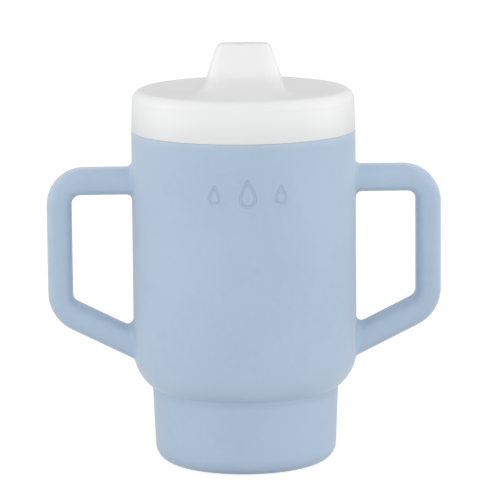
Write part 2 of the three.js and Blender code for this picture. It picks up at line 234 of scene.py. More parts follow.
class Surface:
    """Points in millimetres and faces of one piece, gathered before it becomes a mesh."""

    def __init__(self):
        self.points = []
        self.faces = []
        self.flats = []
        self.split_edges = {}

    def ring(self, points):
        first = len(self.points)
        self.points.extend(points)
        return list(range(first, len(self.points)))

    def face(self, corners):
        whole = []
        for a, b in zip(corners, corners[1:] + corners[:1]):
            whole.append(a)
            if (a, b) in self.split_edges:
                whole.extend(self.split_edges[a, b])
            elif (b, a) in self.split_edges:
                whole.extend(reversed(self.split_edges[b, a]))
        self.faces.append(whole)

    def bridge(self, first, second, keep=None):
        count = len(first)
        for i in range(count):
            j = (i + 1) % count
            if keep is None or keep(i):
                self.face([first[i], first[j], second[j], second[i]])

    def skin(self, rings):
        for first, second in zip(rings, rings[1:]):
            self.bridge(first, second)

    def flat(self, *loops):
        """A level face bounded by closed loops, the first outside the others."""
        self.flats.append(loops)


def make_piece(name, surface, body, node, material):
    mesh = bpy.data.meshes.new(name)
    scaled = [tuple(MM * value for value in point) for point in surface.points]
    mesh.from_pydata(scaled, [], surface.faces)
    work = bmesh.new()
    work.from_mesh(mesh)
    work.verts.ensure_lookup_table()
    for loops in surface.flats:
        edges = []
        for loop in loops:
            for a, b in zip(loop, loop[1:] + loop[:1]):
                pair = (work.verts[a], work.verts[b])
                edges.append(work.edges.get(pair) or work.edges.new(pair))
        bmesh.ops.triangle_fill(work, use_beauty=True, edges=edges)
    bmesh.ops.recalc_face_normals(work, faces=work.faces)
    work.to_mesh(mesh)
    work.free()
    mesh.shade_smooth()
    piece = bpy.data.objects.new(name, mesh)
    bpy.context.scene.collection.objects.link(piece)
    normals = piece.modifiers.new("normals", "WEIGHTED_NORMAL")
    normals.weight = NORMAL_WEIGHT
    mesh.materials.append(material)
    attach(piece, body)
    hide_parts(node)
    return piece


def mix(a, b, share):
    return a + (b - a) * share


def smooth_step(value):
    value = np.clip(value, 0, 1)
    return value * value * (3 - 2 * value)


def circle(radius, z, count, centre_y=0.0):
    turn = 2 * math.pi / count
    return [
        (radius * math.cos(i * turn), centre_y + radius * math.sin(i * turn), z)
        for i in range(count)
    ]


def arc(centre, radius, start, end):
    """Points (r, z) of an arc, with start and end in radians."""
    steps = max(2, math.ceil(abs(end - start) / ARC_STEP))
    angles = [mix(start, end, i / steps) for i in range(steps + 1)]
    return [(centre[0] + radius * math.cos(a), centre[1] + radius * math.sin(a)) for a in angles]


def rounded(corners):
    """Points of a line through corners (r, z, radius), each of them turned through an arc."""
    points = []
    for i, (r, z, radius) in enumerate(corners):
        here = Vector((r, z))
        if radius == 0:
            points.append((r, z))
            continue
        before = (Vector(corners[i - 1][:2]) - here).normalized()
        after = (Vector(corners[i + 1][:2]) - here).normalized()
        half = before.angle(after) / 2
        centre = here + (before + after).normalized() * radius / math.sin(half)
        start = here + before * radius / math.tan(half) - centre
        end = here + after * radius / math.tan(half) - centre
        first = math.atan2(start.y, start.x)
        turn = math.atan2(start.x * end.y - start.y * end.x, start.dot(end))
        points.extend(arc(centre, radius, first, first + turn))
    return points


def between(first, second, steps):
    """Rings laid evenly between two rings."""
    pairs = [(Vector(a), Vector(b)) for a, b in zip(first, second)]
    return [[a.lerp(b, i / steps) for a, b in pairs] for i in range(1, steps)]


def superellipse(s, t, power):
    scale = (abs(s) ** power + abs(t) ** power) ** (-1 / power)
    return s * scale, t * scale


# ---------------------------------------------------------------- cup body


def wall_radius(z):
    if z < SHOULDER_Z:
        return BELLY_RADIUS - SHOULDER_ARC + math.sqrt(SHOULDER_ARC**2 - (SHOULDER_Z - z) ** 2)
    return mix(BELLY_RADIUS, BODY_RADIUS, (z - SHOULDER_Z) / (JOINT_Z - SHOULDER_Z))


def wall_point(angle, z):
    radius = wall_radius(z)
    return Vector((radius * math.cos(angle), radius * math.sin(angle), z))


def wall_normal(point):
    step = SLOPE_STEP
    slope = (wall_radius(point.z + step) - wall_radius(point.z - step)) / (2 * step)
    outward = Vector((point.x, point.y, 0)).normalized()
    return Vector((outward.x, outward.y, -slope)).normalized()


def onto_wall(point):
    return wall_point(math.atan2(point.y, point.x), point.z)


def even_rows(low, high, count):
    return [mix(low, high, i / count) for i in range(count + 1)]


STRUT_FOOT_ROWS = even_rows(STRUT_FOOT_LOW_Z, STRUT_FOOT_HIGH_Z, FOOT_ROWS)
BAR_FOOT_ROWS = even_rows(BAR_FOOT_LOW_Z, BAR_FOOT_HIGH_Z, FOOT_ROWS)


def foot_profile():
    """Underside, foot and stepped base up to the shoulder, as (r, z) from the axis outwards."""
    crease_angle = -math.acos((CREASE_RADIUS - BELLY_RADIUS + SHOULDER_ARC) / SHOULDER_ARC)
    tangent = (CREASE_RADIUS - math.sin(crease_angle), CREASE_Z + math.cos(crease_angle))
    ceiling = FOOT_RECESS_DEPTH
    gate = ceiling - GATE_HEIGHT
    start = [(GATE_RADIUS / 2, gate)]
    middle = rounded(
        [
            (GATE_RADIUS / 2, gate, 0),
            (GATE_RADIUS, gate, GATE_ARC),
            (GATE_RADIUS + GATE_FLANK, ceiling, GATE_ARC),
            (FOOT_RECESS_RADIUS, ceiling, FOOT_RECESS_ARC),
            (FOOT_RECESS_RADIUS + FOOT_RECESS_DEPTH, 0, FOOT_RECESS_ARC),
            (FOOT_WALL_RADIUS, 0, 0),
        ]
    )[1:-1]
    outside = arc((FOOT_WALL_RADIUS - FOOT_ARC, FOOT_ARC), FOOT_ARC, -math.pi / 2, 0)
    crease = rounded(
        [
            (FOOT_WALL_RADIUS, FOOT_ARC, 0),
            (CREASE_RADIUS, CREASE_Z, CREASE_FILLET),
            (tangent[0], tangent[1], 0),
        ]
    )[1:-1]
    belly_low = STRUT_FOOT_ROWS[0]
    first = crease_angle + CREASE_FILLET / SHOULDER_ARC
    last = -math.asin((SHOULDER_Z - belly_low) / SHOULDER_ARC)
    shoulder = arc((BELLY_RADIUS - SHOULDER_ARC, SHOULDER_Z), SHOULDER_ARC, first, last)[:-1]
    base_wall = [
        (mix(FOOT_WALL_RADIUS, CREASE_RADIUS, share), mix(FOOT_ARC, CREASE_Z, share))
        for share in BASE_WALL_SHARES
    ]
    return start + middle + outside + base_wall + crease + shoulder


def neck_and_bore_profile():
    """Step under the lid, neck, rim, bore and floor, as (r, z) from the wall inwards."""
    outer = rounded(
        [
            (BODY_RADIUS, CREASE_Z, 0),
            (BODY_RADIUS, JOINT_Z, WALL_EDGE),
            (NECK_RADIUS, JOINT_Z, NECK_ROOT_ARC),
            (NECK_RADIUS, RIM_Z, RIM_ARC),
            (BORE_RADIUS, RIM_Z, RIM_ARC),
            (BORE_RADIUS, SHOULDER_Z, 0),
        ]
    )[1:-1]
    step = []
    for share in BORE_STEP_SHARES:
        radius = mix(BORE_RADIUS, BASE_BORE_TOP_RADIUS, smooth_step(share))
        step.append((radius, mix(SHOULDER_Z, CREASE_Z, share)))
    bend_centre = (BASE_BORE_RADIUS - FLOOR_ARC, FLOOR_Z + FLOOR_ARC)
    bend = arc(bend_centre, FLOOR_ARC, 0, -math.pi / 2)
    return outer + step + bend + [(radius, FLOOR_Z) for radius in FLOOR_RING_RADII]


def drop_centre_line(radius, height):
    """The middle of a drop's pressed line, as points (x, z) about the centre of its round part."""
    turn = radius - DROP_LINE / 2
    tip = height - radius - DROP_TIP_INSET
    angles = np.linspace(math.pi, 2 * math.pi, DROP_ROUND_STEPS + 1)
    points = [(turn * math.cos(a), turn * math.sin(a)) for a in angles]
    bend = (turn, turn * DROP_FLANK)
    for share in np.linspace(0, 1, DROP_FLANK_STEPS + 1)[1:]:
        keep = (1 - share) ** 2
        pull = 2 * share * (1 - share)
        points.append((keep * turn + pull * bend[0], pull * bend[1] + share**2 * tip))
    mirrored = [(-x, z) for x, z in reversed(points[len(angles) : -1])]
    return np.array(points + mirrored + points[:1])


def distance_to_line(places, line):
    """Shortest distance from each place (x, z) to a chain of straight segments."""
    best = np.full(len(places), np.inf)
    for a, b in zip(line, line[1:]):
        along = b - a
        share = np.clip(((places - a) @ along) / (along @ along), 0, 1)
        gap = places - a - share[:, None] * along
        best = np.minimum(best, np.hypot(gap[:, 0], gap[:, 1]))
    return best


def drop_depths(places):
    """How deep the wall is pressed in at each place (x, z)."""
    depths = np.zeros(len(places))
    wide = (DROP_LINE + DROP_SOFTNESS) / 2
    for x, scale in ((0, 1), (-DROP_PITCH, SIDE_DROP_SCALE), (DROP_PITCH, SIDE_DROP_SCALE)):
        line = drop_centre_line(DROP_RADIUS * scale, DROP_HEIGHT * scale) + (x, DROP_Z)
        gap = distance_to_line(places, line)
        depths = np.maximum(depths, DROP_DEPTH * smooth_step((wide - gap) / DROP_SOFTNESS))
    return depths


def drop_patch(surface, rings):
    """A finer patch of the front wall that holds the pressed drops.

    rings are the coarse rows of the wall that it spans.
    """
    columns = [FRONT_COLUMN + i for i in range(-PATCH_HALF_COLUMNS, PATCH_HALF_COLUMNS + 1)]
    wide = (len(columns) - 1) * PATCH_SPLIT
    high = (len(rings) - 1) * PATCH_SPLIT
    turn = 2 * math.pi / COLUMNS
    angles = [turn * (columns[0] + i / PATCH_SPLIT) for i in range(wide + 1)]
    low = BAR_FOOT_ROWS[PATCH_FIRST_ROW]
    heights = [mix(low, BAR_FOOT_ROWS[-1], j / high) for j in range(high + 1)]
    places = np.array([(BODY_RADIUS * math.cos(a), z) for z in heights for a in angles])
    depths = drop_depths(places).reshape(high + 1, wide + 1)
    grid = []
    for j, z in enumerate(heights):
        row = []
        for i, angle in enumerate(angles):
            on_coarse_point = i % PATCH_SPLIT == 0 and j % PATCH_SPLIT == 0
            if on_coarse_point and (i in (0, wide) or j in (0, high)):
                row.append(rings[j // PATCH_SPLIT][columns[i // PATCH_SPLIT]])
                continue
            radius = wall_radius(z) - depths[j][i]
            row += surface.ring([(radius * math.cos(angle), radius * math.sin(angle), z)])
        grid.append(row)
    for first, second in zip(grid, grid[1:]):
        for i in range(wide):
            surface.faces.append([first[i], first[i + 1], second[i + 1], second[i]])
    for edge in (grid[0], grid[-1], [row[0] for row in grid], [row[-1] for row in grid]):
        for i in range(0, len(edge) - 1, PATCH_SPLIT):
            surface.split_edges[edge[i], edge[i + PATCH_SPLIT]] = edge[i + 1 : i + PATCH_SPLIT]


def section_loop():
    """Places (s, t) round a square, in step with the wall's columns and rows at a handle's foot."""
    loop = []
    loop += [(2 * i / FOOT_COLUMNS - 1, 1) for i in range(FOOT_COLUMNS)]
    loop += [(1, 1 - 2 * i / FOOT_ROWS) for i in range(FOOT_ROWS)]
    loop += [(1 - 2 * i / FOOT_COLUMNS, -1) for i in range(FOOT_COLUMNS)]
    loop += [(-1, 2 * i / FOOT_ROWS - 1) for i in range(FOOT_ROWS)]
    return loop


SECTION = [superellipse(s, t, HANDLE_POWER) for s, t in section_loop()]


def handle_section(outer, inner):
    """One ring of a handle, between a point of its outer outline and one of its inner outline."""
    centre = (outer + inner) / 2
    half = (outer - inner) / 2
    return [
        Vector((centre.x + half.x * v, HANDLE_HALF_DEPTH * u, centre.y + half.y * v))
        for u, v in SECTION
    ]


def strut_z(reference_z, x):
    return reference_z + STRUT_SLOPE * (x - STRUT_REFERENCE_X)


def handle_outline():
    """Pairs of points (x, z) on the outer and inner outlines, from the level bar round to the strut."""
    slope_angle = math.atan(STRUT_SLOPE) - math.pi / 2
    root = math.hypot(1, STRUT_SLOPE)
    outer_top = Vector((HANDLE_OUTER_X - HANDLE_TOP_ARC, HANDLE_TOP_Z - HANDLE_TOP_ARC))
    inner_top = Vector((HANDLE_INNER_X - HANDLE_INNER_ARC, HANDLE_UNDER_Z - HANDLE_INNER_ARC))
    outer_x = HANDLE_OUTER_X - HANDLE_BOTTOM_ARC
    inner_x = HANDLE_INNER_X - HANDLE_INNER_ARC
    outer_low = Vector((outer_x, strut_z(STRUT_LOWER_Z, outer_x) + HANDLE_BOTTOM_ARC * root))
    inner_low = Vector((inner_x, strut_z(STRUT_UPPER_Z, inner_x) + HANDLE_INNER_ARC * root))

    def turned(centre, radius, angle):
        return centre + radius * Vector((math.cos(angle), math.sin(angle)))

    pairs = []
    for i in range(GRIP_STEPS + 1):
        angle = math.pi / 2 * (1 - i / GRIP_STEPS)
        outer = turned(outer_top, HANDLE_TOP_ARC, angle)
        pairs.append((outer, turned(inner_top, HANDLE_INNER_ARC, angle)))
    top_pair = pairs[-1]
    low_pair = (turned(outer_low, HANDLE_BOTTOM_ARC, 0), turned(inner_low, HANDLE_INNER_ARC, 0))
    for i in range(1, GRIP_STEPS):
        pairs.append(tuple(mix(a, b, i / GRIP_STEPS) for a, b in zip(top_pair, low_pair)))
    for i in range(LOW_BEND_STEPS + 1):
        angle = slope_angle * i / LOW_BEND_STEPS
        outer = turned(outer_low, HANDLE_BOTTOM_ARC, angle)
        pairs.append((outer, turned(inner_low, HANDLE_INNER_ARC, angle)))
    return pairs


def meet_wall(point, along):
    """Where a line from point, against the direction along, meets the wall."""
    near = 0.0
    far = HANDLE_OUTER_X
    for _ in range(HALVINGS):
        middle = (near + far) / 2
        place = point - along * middle
        if math.hypot(place.x, place.y) > wall_radius(min(place.z, JOINT_Z)):
            near = middle
        else:
            far = middle
    return point - along * near


def root_fillet(ring, half_height, along):
    """For each point of a handle's ring, the rounded way from the handle's skin down to the wall."""
    across = Vector((0, 1, 0))
    up = along.cross(across).normalized()
    if up.dot(ring[0] - sum(ring, Vector()) / len(ring)) < 0:
        up = -up
    ways = []
    for point, (u, v) in zip(ring, SECTION):
        lean_u = math.copysign(abs(u) ** (HANDLE_POWER - 1), u) / HANDLE_HALF_DEPTH
        lean_v = math.copysign(abs(v) ** (HANDLE_POWER - 1), v) / half_height
        skin = (across * lean_u + up * lean_v).normalized()
        corner = meet_wall(point, along)
        wall = wall_normal(corner)
        on_wall = (skin - wall * skin.dot(wall)).normalized()
        on_skin = (wall - skin * wall.dot(skin)).normalized()
        half = on_wall.angle(on_skin) / 2
        reach = ROOT_FILLET / math.tan(half)
        start = corner + along * (reach / along.dot(on_skin))
        end = onto_wall(corner + on_wall * reach)
        way = []
        for i in range(FILLET_STEPS + 1):
            share = i / FILLET_STEPS
            weights = ((1 - share) ** 2, 2 * share * (1 - share) * math.sin(half), share**2)
            total = start * weights[0] + corner * weights[1] + end * weights[2]
            way.append(total / sum(weights))
        ways.append(way)
    return [[way[i] for way in ways] for i in range(FILLET_STEPS + 1)]


def wall_rings(inner, border):
    """Rings on the wall between a fillet's last ring and the border of the opening left in the wall."""
    rings = []
    for step in range(1, WALL_STEPS):
        share = step / WALL_STEPS
        ring = []
        for a, b in zip(inner, border):
            angle = mix(math.atan2(a.y, a.x), math.atan2(b.y, b.x), share)
            ring.append(wall_point(angle, mix(a.z, b.z, share)))
        rings.append(ring)
    return rings


def foot_border(rows, flip):
    """Column offset and row of each point round the opening for a handle's foot."""
    places = []
    for s, t in section_loop():
        t = -t if flip else t
        places.append((round(s * FOOT_COLUMNS / 2), round((t + 1) * FOOT_ROWS / 2)))
    turn = 2 * math.pi / COLUMNS
    points = [wall_point(column * turn, rows[row]) for column, row in places]
    return places, points


def handle_rings():
    """All rings of the handle on +X, from the wall at its level bar to the wall at its strut."""
    pairs = handle_outline()
    first = handle_section(*pairs[0])
    last = handle_section(*pairs[-1])
    bar = Vector((1, 0, 0))
    strut = Vector((1, 0, STRUT_SLOPE)).normalized()
    bar_half = (HANDLE_TOP_Z - HANDLE_UNDER_Z) / 2
    strut_half = (STRUT_UPPER_Z - STRUT_LOWER_Z) / 2 * strut.x
    bar_root = root_fillet(first, bar_half, bar)
    strut_root = root_fillet(last, strut_half, strut)
    bar_border = foot_border(BAR_FOOT_ROWS, False)
    strut_border = foot_border(STRUT_FOOT_ROWS, True)
    rings = list(reversed(wall_rings(bar_root[-1], bar_border[1])))
    rings += list(reversed(bar_root))
    rings += between(bar_root[0], first, BAR_STEPS)
    rings += [handle_section(*pair) for pair in pairs]
    rings += between(last, strut_root[0], STRUT_STEPS)
    rings += strut_root
    rings += wall_rings(strut_root[-1], strut_border[1])
    return rings, bar_border[0], strut_border[0]


def cup_surface():
    surface = Surface()
    low = foot_profile()
    middle_rows = even_rows(STRUT_FOOT_ROWS[-1], BAR_FOOT_ROWS[0], MIDDLE_ROWS)[1:-1]
    high_rows = even_rows(BAR_FOOT_ROWS[-1], JOINT_Z - 2 * WALL_EDGE, HIGH_ROWS)[1:]
    wall_rows = STRUT_FOOT_ROWS + middle_rows + BAR_FOOT_ROWS + high_rows
    profile = low + [(wall_radius(z), z) for z in wall_rows] + neck_and_bore_profile()
    rings = [surface.ring(circle(r, z, COLUMNS)) for r, z in profile]
    strut_first = len(low)
    bar_first = strut_first + FOOT_ROWS + 1 + len(middle_rows)
    patch_first = bar_first + PATCH_FIRST_ROW
    bar_last = bar_first + FOOT_ROWS
    drop_patch(surface, rings[patch_first : bar_last + 1])

    def is_open(row, column):
        from_side = (column + FOOT_COLUMNS // 2) % (COLUMNS // 2)
        from_front = column - FRONT_COLUMN + PATCH_HALF_COLUMNS
        on_strut = strut_first <= row < strut_first + FOOT_ROWS
        on_bar = bar_first <= row < bar_last
        in_patch = patch_first <= row < bar_last and 0 <= from_front < 2 * PATCH_HALF_COLUMNS
        return in_patch or ((on_strut or on_bar) and from_side < FOOT_COLUMNS)

    for row in range(len(rings) - 1):
        surface.bridge(rings[row], rings[row + 1], lambda column: not is_open(row, column))
    surface.faces.append(rings[0])
    surface.faces.append(rings[-1])

    points, bar_places, strut_places = handle_rings()
    for side, shift in ((1, 0), (-1, COLUMNS // 2)):
        made = [surface.ring([(side * p.x, side * p.y, p.z) for p in ring]) for ring in points]
        bar_border = [rings[bar_first + row][(column + shift) % COLUMNS] for column, row in bar_places]
        strut_border = [
            rings[strut_first + row][(column + shift) % COLUMNS] for column, row in strut_places
        ]
        surface.skin([bar_border] + made + [strut_border])
    return surface


# ---------------------------------------------------------------- lid


def spout_ring(z, half_width, half_depth, count=LID_COLUMNS):
    points = []
    for i in range(count):
        angle = 2 * math.pi * i / count
        u, v = superellipse(math.cos(angle), math.sin(angle), SPOUT_POWER)
        points.append((half_width * u, SPOUT_Y + half_depth * v, z))
    return points


def spout_half_sizes(z):
    rise = min(max((z - LID_TOP_Z) / (SPOUT_TOP_Z - LID_TOP_Z), 0), 1)
    return mix(ROOT_HALF_WIDTH, MOUTH_HALF_WIDTH, rise), mix(ROOT_HALF_DEPTH, MOUTH_HALF_DEPTH, rise)


def root_reach(radius, height):
    """How far a concave root stands out from the flank, at a height above the lid's top."""
    gap = max(radius - height, 0)
    return radius - math.sqrt(radius * radius - gap * gap)


def spout_outside():
    """Rings from the lid's top up to the edge of the spout's level mouth face."""
    rings = []
    for i in range(ROOT_STEPS + 1):
        height = ROOT_SWEEP * (1 - math.cos(math.pi / 2 * i / ROOT_STEPS))
        wide, deep = spout_half_sizes(LID_TOP_Z + height)
        wide += root_reach(ROOT_FLARE, height)
        deep += root_reach(ROOT_SWEEP, height)
        rings.append(spout_ring(LID_TOP_Z + height, wide, deep))
    for z in even_rows(LID_TOP_Z + ROOT_SWEEP, SPOUT_TOP_Z - MOUTH_EDGE_ARC, FLANK_STEPS)[1:-1]:
        rings.append(spout_ring(z, *spout_half_sizes(z)))
    for i in range(MOUTH_EDGE_STEPS + 1):
        angle = math.pi / 2 * i / MOUTH_EDGE_STEPS
        z = SPOUT_TOP_Z - MOUTH_EDGE_ARC * (1 - math.sin(angle))
        edge = MOUTH_EDGE_ARC * (1 - math.cos(angle))
        wide, deep = spout_half_sizes(z)
        rings.append(spout_ring(z, wide - edge, deep - edge))
    return rings


def spout_inside():
    """Rings from the ceiling of the hollow down to the funnel above the valve socket."""
    ceiling = SPOUT_TOP_Z - SPOUT_WALL
    rings = []
    for i in range(HOLLOW_FILLET_STEPS + 1):
        angle = math.pi / 2 * i / HOLLOW_FILLET_STEPS
        z = ceiling - HOLLOW_FILLET * (1 - math.cos(angle))
        inset = SPOUT_WALL + HOLLOW_FILLET * (1 - math.sin(angle))
        wide, deep = spout_half_sizes(z)
        rings.append(spout_ring(z, wide - inset, deep - inset))
    for z in even_rows(ceiling - HOLLOW_FILLET, FUNNEL_TOP_Z, HOLLOW_STEPS)[1:]:
        wide, deep = spout_half_sizes(z)
        rings.append(spout_ring(z, wide - SPOUT_WALL, deep - SPOUT_WALL))
    return rings


def lid_section():
    """The lid's turned section from the edge of its top, over the skirt, to the plug wall's root."""
    under = LID_TOP_Z - LID_PLATE
    bottom = LID_LOW.z
    edge_centre = (LID_TOP_RADIUS - LID_EDGE_ARC, LID_TOP_Z - LID_EDGE_ARC)
    edge = arc(edge_centre, LID_EDGE_ARC, math.pi / 2, 0)
    rest = rounded(
        [
            (LID_TOP_RADIUS, LID_TOP_Z - LID_EDGE_ARC, 0),
            (BODY_RADIUS, bottom, SKIRT_EDGE),
            (SKIRT_INNER_RADIUS, bottom, SKIRT_INNER_EDGE),
            (SKIRT_INNER_RADIUS, under, CEILING_FILLET),
            (PLUG_OUTER_RADIUS, under, PLUG_ROOT_FILLET),
            (PLUG_OUTER_RADIUS, GROOVE_HIGH_Z, GROOVE_EDGE),
            (GROOVE_RADIUS, GROOVE_HIGH_Z, GROOVE_FILLET),
            (GROOVE_RADIUS, GROOVE_LOW_Z, GROOVE_FILLET),
            (PLUG_OUTER_RADIUS, GROOVE_LOW_Z, GROOVE_EDGE),
            (PLUG_OUTER_RADIUS, PLUG_BOTTOM_Z, PLUG_EDGE),
            (PLUG_INNER_RADIUS, PLUG_BOTTOM_Z, PLUG_EDGE),
            (PLUG_INNER_RADIUS, under, CEILING_FILLET),
            (SOCKET_OUTER_RADIUS, under, 0),
        ]
    )[1:-1]
    return edge + rest


def socket_section():
    """The valve socket's turned section about its own axis, from its outside root up its bore."""
    under = LID_TOP_Z - LID_PLATE
    return rounded(
        [
            (PLUG_INNER_RADIUS, under, 0),
            (SOCKET_OUTER_RADIUS, under, SOCKET_ROOT_FILLET),
            (SOCKET_OUTER_RADIUS, SOCKET_BOTTOM_Z, SOCKET_OUTER_EDGE),
            (SOCKET_INNER_RADIUS, SOCKET_BOTTOM_Z, SOCKET_INNER_EDGE),
            (SOCKET_INNER_RADIUS, SOCKET_TOP_Z, 0),
        ]
    )[1:]


def lid_surface():
    surface = Surface()
    outside = spout_outside()
    turned = [circle(r, z, LID_COLUMNS) for r, z in lid_section()]
    socket = [circle(r, z, LID_COLUMNS, SPOUT_Y) for r, z in socket_section()]
    inside = spout_inside()
    points = list(reversed(outside))
    points += between(outside[0], turned[0], PLATE_STEPS)
    points += turned
    points += between(turned[-1], socket[0], PLATE_STEPS)
    points += socket
    points += between(socket[-1], inside[-1], FUNNEL_STEPS)
    points += list(reversed(inside))
    rings = [surface.ring(ring) for ring in points]
    surface.skin(rings)
    mouth_holes = []
    ceiling_holes = []
    section = rounded(
        [
            (HOLE_RADIUS + 2 * HOLE_EDGE, SPOUT_TOP_Z, 0),
            (HOLE_RADIUS, SPOUT_TOP_Z, HOLE_EDGE),
            (HOLE_RADIUS, SPOUT_TOP_Z - SPOUT_WALL, 0),
        ]
    )[1:]
    for i in range(HOLE_COUNT):
        shift = (i - (HOLE_COUNT - 1) / 2) * HOLE_PITCH
        tube = []
        for radius, z in section:
            loop = circle(radius, z, HOLE_SEGMENTS, SPOUT_Y)
            tube.append(surface.ring([(shift + x, y, z) for x, y, z in loop]))
        surface.skin(tube)
        mouth_holes.append(tube[0])
        ceiling_holes.append(tube[-1])
    surface.flat(rings[0], *mouth_holes)
    surface.flat(rings[-1], *ceiling_holes)
    return surface


# ---------------------------------------------------------------- seal and valve


def seal_surface():
    surface = Surface()
    inner = SEAL_LOW_RADIUS
    outer = SEAL_HIGH.x
    low = SEAL_LOW.z
    high = SEAL_HIGH.z
    middle = (low + high) / 2
    lip = (high - low) / 4
    corners = [
        (inner, low, SEAL_INNER_EDGE),
        (outer, low, SEAL_LIP_EDGE),
        (outer, middle - lip / 4, SEAL_WAIST_EDGE),
        (outer - lip, middle, SEAL_WAIST_FILLET),
        (outer, middle + lip / 4, SEAL_WAIST_EDGE),
        (outer, high, SEAL_LIP_EDGE),
        (inner, high, SEAL_INNER_EDGE),
    ]
    looped = [corners[-1]] + corners + [corners[0]]
    section = rounded([(*looped[0][:2], 0)] + looped[1:-1] + [(*looped[-1][:2], 0)])[1:-1]
    rings = [surface.ring(circle(r, z, LID_COLUMNS)) for r, z in section]
    surface.skin(rings + rings[:1])
    return surface


def tab_reach(offset):
    """Distance from the valve's axis to its rim, at an angle from the pull tab's middle."""
    reach = VALVE_HIGH.y - SPOUT_Y - TAB_HALF_WIDTH
    side = abs(math.sin(offset))
    if math.cos(offset) <= 0:
        return VALVE_FLANGE_RADIUS
    if abs(math.tan(offset)) >= TAB_HALF_WIDTH / reach:
        tab = TAB_HALF_WIDTH / side
    else:
        tab = reach * math.cos(offset) + math.sqrt(TAB_HALF_WIDTH**2 - (reach * side) ** 2)
    tab_weight = math.exp(TAB_SHARPNESS * tab)
    flange_weight = math.exp(TAB_SHARPNESS * VALVE_FLANGE_RADIUS)
    return math.log(tab_weight + flange_weight) / TAB_SHARPNESS


def valve_angles():
    """Angles round the valve, closer together at the pull tab on +Y."""
    angles = []
    for i in range(LID_COLUMNS):
        share = 2 * i / LID_COLUMNS - 1
        turn = math.pi * share * (1 - TAB_CROWDING * (1 - share**2))
        angles.append(math.pi / 2 + turn)
    return angles


def valve_ring(radius_at, z):
    return [
        (radius_at(a) * math.cos(a), SPOUT_Y + radius_at(a) * math.sin(a), z) for a in valve_angles()
    ]


def cross_loop(z):
    w = SLIT_HALF_WIDTH
    end = SLIT_HALF_LENGTH
    quarter = [(end, -w), (end, w), (w, w)]
    points = []
    for _ in range(4):
        points += [(x, SPOUT_Y + y, z) for x, y in quarter]
        quarter = [(-y, x) for x, y in quarter]
    return points


def valve_surface():
    surface = Surface()
    low = VALVE_LOW.z
    top = VALVE_HIGH.z
    edge = VALVE_EDGE
    rings = []

    def add_round(radius, z):
        rings.append(surface.ring(valve_ring(lambda angle: radius, z)))

    def add_rim(inset, z):
        rings.append(surface.ring(valve_ring(lambda angle: tab_reach(angle - math.pi / 2) - inset, z)))

    for radius, z in arc((VALVE_BORE_RADIUS + edge, low + edge), edge, math.pi, math.pi * 1.5):
        add_round(radius, z)
    add_round(VALVE_BORE_RADIUS + 2 * edge, low)
    for inset, z in arc((edge, low + edge), edge, -math.pi / 2, -math.pi):
        add_rim(inset, z)
    for inset, z in arc((edge, VALVE_FLANGE_HIGH_Z - edge), edge, math.pi, math.pi / 2):
        add_rim(inset, z)
    stem = rounded(
        [
            (VALVE_FLANGE_RADIUS, VALVE_FLANGE_HIGH_Z, 0),
            (VALVE_RADIUS, VALVE_FLANGE_HIGH_Z, VALVE_STEM_FILLET),
            (VALVE_RADIUS, top, VALVE_TOP_EDGE),
            (VALVE_BORE_RADIUS, top, VALVE_DISH_EDGE),
            (MEMBRANE_FLAT_RADIUS, top - MEMBRANE_DISH, MEMBRANE_ARC),
            (0, top - MEMBRANE_DISH, 0),
        ]
    )[1:-1]
    for radius, z in stem:
        add_round(radius, z)
    dish_top = rings[-1]
    under = top - MEMBRANE_THICKNESS
    below = rounded(
        [
            (0, under - MEMBRANE_DISH, 0),
            (MEMBRANE_FLAT_RADIUS, under - MEMBRANE_DISH, MEMBRANE_ARC),
            (VALVE_BORE_RADIUS, under - MEMBRANE_DISH / 3, MEMBRANE_ROOT_FILLET),
            (VALVE_BORE_RADIUS, low, 0),
        ]
    )[1:-1]
    below_rings = [surface.ring(valve_ring(lambda angle: radius, z)) for radius, z in below]
    surface.skin(rings)
    surface.skin(below_rings + [rings[0]])
    slit_top = surface.ring(cross_loop(top - MEMBRANE_DISH))
    slit_low = surface.ring(cross_loop(under - MEMBRANE_DISH))
    surface.bridge(slit_top, slit_low)
    surface.flat(dish_top, slit_top)
    surface.flat(below_rings[0], slit_low)
    return surface


# ---------------------------------------------------------------- materials

BLUE_DEEP = (0.410, 0.524, 0.660)
BLUE_PALE = (0.436, 0.549, 0.685)
BLUE_CLOUD = (0.456, 0.568, 0.697)
# painted highlight: paler blue on the wall just under the lid, as if its top edge caught light
BLUE_UNDER_LID_HIGHLIGHT = (0.54, 0.63, 0.73)
# painted light: paler blue that lifts the shade on the downward-facing shoulder above the crease
BLUE_SHOULDER_PAINTED_LIGHT = (0.52, 0.64, 0.77)
# painted shade: darker blue in a band at and just below the crease between shoulder and base
BLUE_CREASE_SHADE = (0.34, 0.45, 0.58)
UNDER_LID_HIGHLIGHT_REACH = 2.6
CREASE_SHADE_DROP = 0.8
CREASE_SHADE_CORE = 0.3
CREASE_SHADE_REACH = 2.0
PARTING_START_X = 36.6
PARTING_FULL_X = 37.4
PARTING_CORE = 0.08
PARTING_REACH = 0.22
PARTING_HEIGHT = 0.06
SILICONE_GRAIN = 0.02
SILICONE_RIPPLE = 0.04
SHEEN_TINT = (0.9, 0.95, 1, 1)

WHITE_COOL = (0.872, 0.874, 0.875)
WHITE_WARM = (0.893, 0.893, 0.889)
# painted shade: greyer white towards the bottom edge of the lid's skirt
WHITE_SKIRT_SHADE = (0.755, 0.76, 0.765)
# painted shade: greyer white on the lid's top and the spout's root, fading out up the spout
WHITE_ROOT_SHADE = (0.762, 0.762, 0.76)
SKIRT_SHADE_LOW_Z = 107.9
SKIRT_SHADE_HIGH_Z = 116.5
ROOT_SHADE_RISE = (-0.6, 0.9)
ROOT_SHADE_FALL = (3.2, 8.0)
PLASTIC_GRAIN = 0.012
PLASTIC_RIPPLE = 0.04
PLASTIC_SCATTER = 3.0

